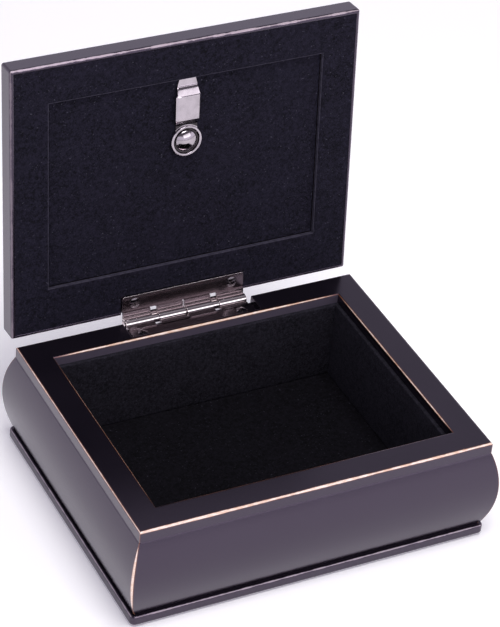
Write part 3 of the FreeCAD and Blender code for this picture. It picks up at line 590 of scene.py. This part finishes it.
shape = bmesh.new()
base_screws = ((-29.6, -9.8), (29.6, -9.8))
leaf_plate(shape, rear=-6.0, low=-1.5, high=0.1, screws=base_screws, face_up=True, **LEAF)
for start, stop in LEFT_KNUCKLES:
    round_bar(shape, 3.0, start, stop)
    prism(shape, box_outline(-6.7, -1.5, 0.0, 0.8), start, stop)
    prism(shape, [along_lid(*spot) for spot in ((0, 1.6), (5.9, 1.6), (5.9, 3.2), (0, 3.2))], start, stop)
for start, stop in RIGHT_KNUCKLES:
    prism(shape, box_outline(-7.0, -1.5, -3.4, 0.1), start, stop)
finished(shape, "hinge_base_leaf", "base", hinge_nickel, 0.14 * MM, at_hinge)

shape = bmesh.new()
lid_screws = ((-28.9, -10.7), (28.9, -10.7))
leaf_plate(shape, rear=-6.0, low=2.6, high=4.2, screws=lid_screws, face_up=False, **LEAF)
for start, stop in RIGHT_KNUCKLES:
    round_bar(shape, 3.0, start, stop)
    prism(shape, box_outline(-5.8, 1.6, 0.0, 3.2), start, stop)
    prism(shape, box_outline(-6.5, 2.6, -5.0, 4.2), start, stop)
finished(shape, "hinge_lid_leaf", "lid", hinge_nickel, 0.14 * MM, lid_open)

for name in ("hinge_pin", "hinge_collars"):
    dress(name, hinge_nickel)
for name in ("base_leaf_screws", "lid_leaf_screws"):
    dress(name, screw_nickel)


clip_frame = Matrix.Translation(rivet_spot) @ Matrix(
    ((1, 0, 0), (0, rivet_axis.z, rivet_axis.y), (0, -rivet_axis.y, rivet_axis.z))
).to_4x4()


def lathe(shape, profile, count):
    """Turn a closed profile of (radius, height) in millimetres about local Z."""
    rings = []
    for radius, height in profile:
        if radius < 1e-6:
            rings.append([shape.verts.new((0, 0, height * MM))] * count)
            continue
        turns = [2 * math.pi * k / count for k in range(count)]
        ring = [(radius * MM * math.cos(a), radius * MM * math.sin(a), height * MM) for a in turns]
        rings.append([shape.verts.new(spot) for spot in ring])
    pairs = list(zip(rings, rings[1:] + rings[:1]))
    if profile[0][0] < 1e-6 and profile[-1][0] < 1e-6:
        pairs = pairs[:-1]
    for low, high in pairs:
        for k in range(count):
            n = (k + 1) % count
            corners = list(dict.fromkeys((low[k], low[n], high[n], high[k])))
            if len(corners) > 2:
                shape.faces.new(corners)


def dome_points(edge_radius, base, height, count):
    """A shallow dome's points from its edge to its crown."""
    radius = (edge_radius**2 + height**2) / (2 * height)
    limit = math.asin(edge_radius / radius)
    angles = [limit * (1 - i / count) for i in range(count + 1)]
    return [(radius * math.sin(a), base + height - radius * (1 - math.cos(a))) for a in angles]


# The rivet: a plain shank with a foot, and a domed head whose edge is rounded
shape = bmesh.new()
profile = [(0, -3.8), (4.0, -3.8), (4.0, -2.9), (2.0, -2.9), (2.0, 0.72), (5.65, 0.72)]
profile += arc_points((5.65, 1.12), 0.4, -90, 10, 5)
profile += dome_points(6.0, 1.35, 2.3, 16)[1:]
lathe(shape, profile, 72)
finished(shape, "clip_rivet", "lid", rivet_nickel, 0.12 * MM, clip_frame)

# The clip: a dished ring with a rolled rim, and a channelled strap in one strip with it
shape = bmesh.new()
profile = [(2.05, 0.62), (2.05, 0.12), (8.1, 0.12)] + arc_points((8.1, 0.82), 0.7, -90, 0, 5)
profile += arc_points((8.35, 1.5), 0.45, 0, 80, 4) + arc_points((7.75, 1.5), 0.42, 100, 180, 4)
profile += [(7.33, 1.12)] + arc_points((6.83, 1.12), 0.5, 0, -90, 4)
lathe(shape, profile, 72)

STRAP = [
    # distance from the rivet, height of the upper face, half width, fall of the edges
    (8.3, 1.05, 6.2, 0.0),
    (8.9, 1.12, 6.25, 0.0),
    (9.4, 0.95, 6.3, 0.0),
    (11.9, 2.55, 6.6, 0.3),
    (12.7, 3.3, 6.95, 0.8),
    (13.4, 3.45, 7.05, 0.9),
    (20.4, 3.5, 7.1, 0.9),
    (27.1, 3.45, 7.1, 0.9),
    (27.45, 3.1, 6.8, 0.6),
    (28.0, 2.95, 6.3, 0.2),
    (30.6, 1.5, 5.95, 0.05),
    (30.9, 1.25, 5.9, 0.0),
    (31.6, 0.58, 5.8, 0.0),
    (31.9, 0.55, 5.75, 0.0),
    (32.4, 1.0, 5.7, 0.0),
    (32.8, 0.78, 5.65, 0.0),
    (34.8, 0.8, 5.1, 0.0),
    (36.2, 0.8, 4.7, 0.0),
    (38.9, 0.7, 4.6, 0.0),
]
COLUMNS = (-1.0, -0.84, -0.5, 0.0, 0.5, 0.84, 1.0)
THICK = 0.5
upper, lower = [], []
for i, (reach, height, half, fall) in enumerate(STRAP):
    before, after = STRAP[max(i - 1, 0)], STRAP[min(i + 1, len(STRAP) - 1)]
    slope = math.atan2(after[1] - before[1], after[0] - before[0])
    back_y, back_z = math.sin(slope) * THICK, math.cos(slope) * THICK
    top_row, low_row = [], []
    for column in COLUMNS:
        x, edge = column * half, fall if abs(column) == 1.0 else 0.0
        y = math.sqrt(reach**2 - x**2) if i == 0 else reach
        top_row.append(shape.verts.new((x * MM, y * MM, (height - edge) * MM)))
        low_row.append(shape.verts.new((x * MM, (y + back_y) * MM, (height - edge - back_z) * MM)))
    upper.append(top_row)
    lower.append(low_row)
last = len(COLUMNS) - 1
for i in range(len(STRAP) - 1):
    for j in range(last):
        shape.faces.new((upper[i][j], upper[i][j + 1], upper[i + 1][j + 1], upper[i + 1][j]))
        shape.faces.new((lower[i][j], lower[i + 1][j], lower[i + 1][j + 1], lower[i][j + 1]))
    shape.faces.new((upper[i][0], upper[i + 1][0], lower[i + 1][0], lower[i][0]))
    shape.faces.new((upper[i][last], lower[i][last], lower[i + 1][last], upper[i + 1][last]))
for i in (0, len(STRAP) - 1):
    for j in range(last):
        shape.faces.new((upper[i][j], upper[i][j + 1], lower[i][j + 1], lower[i][j]))
finished(shape, "retaining_clip", "clip", clip_nickel, 0.1 * MM, clip_frame)


def grid_slab(low, high, cell, edge_round, swell=0.0, seed=0.0, hole=None, undulation=0.0001, face_axis=2):
    """A cloth-covered slab between two corners. The face towards +face_axis is soft: its rim rolls
    over by edge_round, it swells by swell in the middle, and it undulates."""
    low, high = Vector(low), Vector(high)
    u_axis, v_axis = [axis for axis in range(3) if axis != abs(face_axis)]
    size_u, size_v = high[u_axis] - low[u_axis], high[v_axis] - low[v_axis]
    thick = high[face_axis] - low[face_axis]

    def stations(size):
        rolled = [edge_round * (1 - math.cos(math.radians(a))) for a in (0, 22, 45, 67, 90)]
        count = max(2, round((size - 2 * edge_round) / cell))
        inner = [edge_round + (size - 2 * edge_round) * i / count for i in range(1, count)]
        return rolled + inner + [size - r for r in reversed(rolled)]

    us, vs = stations(size_u), stations(size_v)
    shape = bmesh.new()

    def drop(distance):
        """How far the rolled rim lies below the face at that distance from the edge."""
        if distance >= edge_round:
            return 0.0
        return edge_round - math.sqrt(max(edge_round**2 - (edge_round - distance) ** 2, 0.0))

    top = []
    for u in us:
        row = []
        for v in vs:
            fall = max(drop(min(u, size_u - u)), drop(min(v, size_v - v)))
            crown = max(0.0, math.sin(math.pi * u / size_u) * math.sin(math.pi * v / size_v))
            lift = swell * crown**0.6
            wave = noise.noise(Vector((u * 60 + seed, v * 60, seed))) * undulation
            wave += noise.noise(Vector((u * 190 + seed, v * 190, seed))) * undulation * 0.4
            inside = min(1.0, min(u, size_u - u, v, size_v - v) / max(edge_round, 1e-6))
            spot = Vector((0, 0, 0))
            spot[u_axis], spot[v_axis] = low[u_axis] + u, low[v_axis] + v
            spot[face_axis] = low[face_axis] + thick - fall + (lift + wave - undulation) * inside
            row.append(shape.verts.new(spot))
        top.append(row)
    for i in range(len(us) - 1):
        for j in range(len(vs) - 1):
            shape.faces.new((top[i][j], top[i + 1][j], top[i + 1][j + 1], top[i][j + 1]))
    border = [edge for edge in shape.edges if edge.is_boundary]
    ring = bmesh.ops.extrude_edge_only(shape, edges=border)["geom"]
    for item in ring:
        if isinstance(item, bmesh.types.BMVert):
            item.co[face_axis] = low[face_axis]
    bottom_edges = [edge for edge in shape.edges if edge.is_boundary]
    bmesh.ops.contextual_create(shape, geom=bottom_edges)
    bmesh.ops.recalc_face_normals(shape, faces=shape.faces)
    return shape


def as_mesh(shape, name):
    mesh = bpy.data.meshes.new(name)
    shape.to_mesh(mesh)
    shape.free()
    mesh.shade_smooth()
    mesh.set_sharp_from_angle(angle=math.radians(50))
    return mesh


def flipped(shape, axis, low, high):
    """Mirror a slab between its own two faces, so that its soft face points the other way."""
    for vert in shape.verts:
        vert.co[axis] = low[axis] + high[axis] - vert.co[axis]
    bmesh.ops.reverse_faces(shape, faces=shape.faces)
    return shape


# The well's lining: velvet drawn over cards
for node, axis, towards_plus in (
    ("lining_floor", 2, True),
    ("lining_front", 1, True),
    ("lining_back", 1, False),
    ("lining_left", 0, True),
    ("lining_right", 0, False),
):
    low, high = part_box(node)
    seed = axis * 7.3 + towards_plus
    shape = grid_slab(low, high, 3.0 * MM, 0.7 * MM, seed=seed, undulation=0.12 * MM, face_axis=axis)
    if not towards_plus:
        flipped(shape, axis, low, high)
    pile = floor_pile_shaded if node == "lining_floor" else side_pile_lit
    made = piece(f"{node}_cloth", as_mesh(shape, node), "base", [node], pile)

low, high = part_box("base_felt")
shape = flipped(grid_slab(low, high, 4.0 * MM, 0.3 * MM, seed=3.1, undulation=0.05 * MM), 2, low, high)
felt = piece("base_felt_sheet", as_mesh(shape, "base_felt"), "base", ["base_felt"], felt_finish)


# ---- Cloth on the lid ---------------------------------------------------------------------------

shape = grid_slab(panel_low, panel_high, 3.0 * MM, 0.45 * MM, seed=5.2, undulation=0.10 * MM)
flipped(shape, 2, panel_low, panel_high)
shape.transform(to_open)
mesh = as_mesh(shape, "backing_velvet")
panel = piece("backing_velvet_cloth", mesh, "lid", ["backing_velvet"], lid_pile)


def border_cloth():
    """The velvet round the recess: a flat ring whose inner edge turns down into the recess, with a
    gap for the hinge leaf. Drawn with the lid shut, face downwards."""
    pocket_x = panel_high.x + 0.4 * MM
    pocket_low, pocket_high = panel_low.y - 0.4 * MM, panel_high.y + 0.4 * MM
    gap_x = leaf_high.x + 0.25 * MM
    gap_y = leaf_low.y - 0.25 * MM
    face, back = border_low.z, border_high.z
    bend, skin = 0.45 * MM, 0.16 * MM
    inner_end = panel_low.z - 0.02 * MM
    xs = sorted(
        {border_low.x, -pocket_x, -gap_x, gap_x, pocket_x, border_high.x}
        | {border_low.x + (border_high.x - border_low.x) * i / 60 for i in range(1, 60)}
    )
    ys = sorted(
        {border_low.y, pocket_low, pocket_high, gap_y, border_high.y}
        | {border_low.y + (border_high.y - border_low.y) * i / 48 for i in range(1, 48)}
    )

    def thinned(values, keep):
        """Drop filler stations that crowd the ones that matter."""
        return [v for v in values if v in keep or min(abs(v - k) for k in keep) > 0.6 * MM]

    xs = thinned(xs, {border_low.x, -pocket_x, -gap_x, gap_x, pocket_x, border_high.x})
    ys = thinned(ys, {border_low.y, pocket_low, pocket_high, gap_y, border_high.y})
    shape = bmesh.new()
    spots = {}

    def vert(i, j):
        if (i, j) not in spots:
            x, y = xs[i], ys[j]
            wave = noise.noise(Vector((x * 60, y * 60, 9.1))) * 0.05 * MM
            wave += noise.noise(Vector((x * 200, y * 200, 2.1))) * 0.02 * MM
            spots[i, j] = shape.verts.new((x, y, face + 0.07 * MM + wave))
        return spots[i, j]

    for i in range(len(xs) - 1):
        for j in range(len(ys) - 1):
            mid_x, mid_y = (xs[i] + xs[i + 1]) / 2, (ys[j] + ys[j + 1]) / 2
            in_pocket = abs(mid_x) < pocket_x and pocket_low < mid_y < pocket_high
            in_gap = abs(mid_x) < gap_x and mid_y > gap_y
            if not in_pocket and not in_gap:
                shape.faces.new((vert(i, j), vert(i, j + 1), vert(i + 1, j + 1), vert(i + 1, j)))

    def on_pocket(edge):
        middle = (edge.verts[0].co + edge.verts[1].co) / 2
        return abs(middle.x) < pocket_x + 1e-6 and pocket_low - 1e-6 < middle.y < pocket_high + 1e-6

    border = [edge for edge in shape.edges if edge.is_boundary]
    inner = [edge for edge in border if on_pocket(edge)]
    outer = [edge for edge in border if not on_pocket(edge)]
    made = bmesh.ops.extrude_edge_only(shape, edges=outer)["geom"]
    for item in made:
        if isinstance(item, bmesh.types.BMVert):
            item.co.z = back
    centre = Vector((0, (pocket_low + pocket_high) / 2, 0))
    half = Vector((pocket_x, (pocket_high - pocket_low) / 2, 0))
    edges = inner
    for step in range(1, 5):
        angle = math.radians(90) * step / 4
        made = bmesh.ops.extrude_edge_only(shape, edges=edges)["geom"]
        edges = [item for item in made if isinstance(item, bmesh.types.BMEdge) and item.is_boundary]
        before = math.radians(90) * (step - 1) / 4
        inward = skin * (math.sin(angle) - math.sin(before))
        down = bend * (math.cos(before) - math.cos(angle))
        for item in made:
            if isinstance(item, bmesh.types.BMVert):
                for axis in (0, 1):
                    offset = item.co[axis] - centre[axis]
                    if abs(offset) > half[axis] - 2 * skin:
                        item.co[axis] -= math.copysign(inward, offset)
                item.co.z += down
    made = bmesh.ops.extrude_edge_only(shape, edges=edges)["geom"]
    for item in made:
        if isinstance(item, bmesh.types.BMVert):
            item.co.z = inner_end
    bmesh.ops.recalc_face_normals(shape, faces=shape.faces)
    shape.transform(to_open)
    return shape


mesh = as_mesh(border_cloth(), "lid_velvet")
border = piece("lid_velvet_cloth", mesh, "lid", ["lid_velvet"], lid_border_pile)


# ---- Floor, light and camera --------------------------------------------------------------------

shape = bmesh.new()
for i in range(9):
    for j in range(9):
        shape.verts.new(((i - 4) * 1.5, (j - 4) * 1.5, -0.0002))
shape.verts.ensure_lookup_table()
for i in range(8):
    for j in range(8):
        corners = (i * 9 + j, (i + 1) * 9 + j, (i + 1) * 9 + j + 1, i * 9 + j + 1)
        shape.faces.new([shape.verts[k] for k in corners])
floor = bpy.data.objects.new("floor", as_mesh(shape, "floor"))
scene.collection.objects.link(floor)
floor.data.materials.append(floor_finish("pale_floor"))

world = bpy.data.worlds.new("studio")
scene.world = world
world.use_nodes = True
sky = world.node_tree
backdrop = sky.nodes["Background"]
coords = sky.nodes.new("ShaderNodeTexCoord")
parts = sky.nodes.new("ShaderNodeSeparateXYZ")
sky.links.new(coords.outputs["Generated"], parts.inputs[0])


def sky_ramp(source, stops):
    """Colour by one part of the direction, from evenly clamped stops."""
    ramp = sky.nodes.new("ShaderNodeValToRGB")
    sky.links.new(source, ramp.inputs[0])
    for element, (position, colour) in zip(ramp.color_ramp.elements, stops):
        element.position = position
        element.color = (*colour, 1)
    return ramp.outputs[0]


# White paper low down and the dimmer room above it, darkest behind the viewer
rear = sky_ramp(parts.outputs["Z"], ((0.26, (1.0, 0.955, 1.09)), (0.52, (0.35, 0.335, 0.385))))
front = sky_ramp(parts.outputs["Z"], ((0.34, (1.0, 0.955, 1.09)), (0.46, (0.13, 0.12, 0.145))))
side = sky.nodes.new("ShaderNodeMapRange")
side.inputs["From Min"].default_value = -0.35
side.inputs["From Max"].default_value = 0.15
sky.links.new(parts.outputs["Y"], side.inputs["Value"])
room = sky.nodes.new("ShaderNodeMix")
room.data_type = "RGBA"
sky.links.new(side.outputs[0], room.inputs[0])
sky.links.new(front, room.inputs[6])
sky.links.new(rear, room.inputs[7])
sky.links.new(room.outputs[2], backdrop.inputs[0])
backdrop.inputs[1].default_value = 1.12


def softbox(name, place, target, size, energy, tone=(1, 1, 1)):
    light = bpy.data.lights.new(name, "AREA")
    light.shape = "RECTANGLE"
    light.size, light.size_y = size
    light.energy = energy
    light.color = tone
    made = bpy.data.objects.new(name, light)
    scene.collection.objects.link(made)
    made.location = place
    made.rotation_euler = (Vector(target) - Vector(place)).to_track_quat("-Z", "Y").to_euler()
    return made


softbox("top_light", (0.0, -0.35, 1.6), (0, 0, 0.05), (0.9, 0.7), 17, (1.0, 0.965, 1.03))
softbox("front_light", (0.6, -1.6, 0.95), (0, 0, 0.1), (1.9, 0.75), 8, (1.0, 0.97, 1.02))

eye = Vector((-0.5717, -1.0011, 0.9531))
aim = Vector((0.0378, 0.0775, 0.05))
camera = bpy.data.objects.new("camera", bpy.data.cameras.new("camera"))
scene.collection.objects.link(camera)
camera.location = eye
camera.rotation_mode = "QUATERNION"
roll = Matrix.Rotation(math.radians(5.77), 4, "Z").to_quaternion()
camera.rotation_quaternion = (aim - eye).to_track_quat("-Z", "Y") @ roll
camera.data.sensor_width = 36
camera.data.lens = 160.3
camera.data.clip_start = 0.05
camera.data.clip_end = 50
scene.camera = camera
scene.view_settings.view_transform = "Standard"
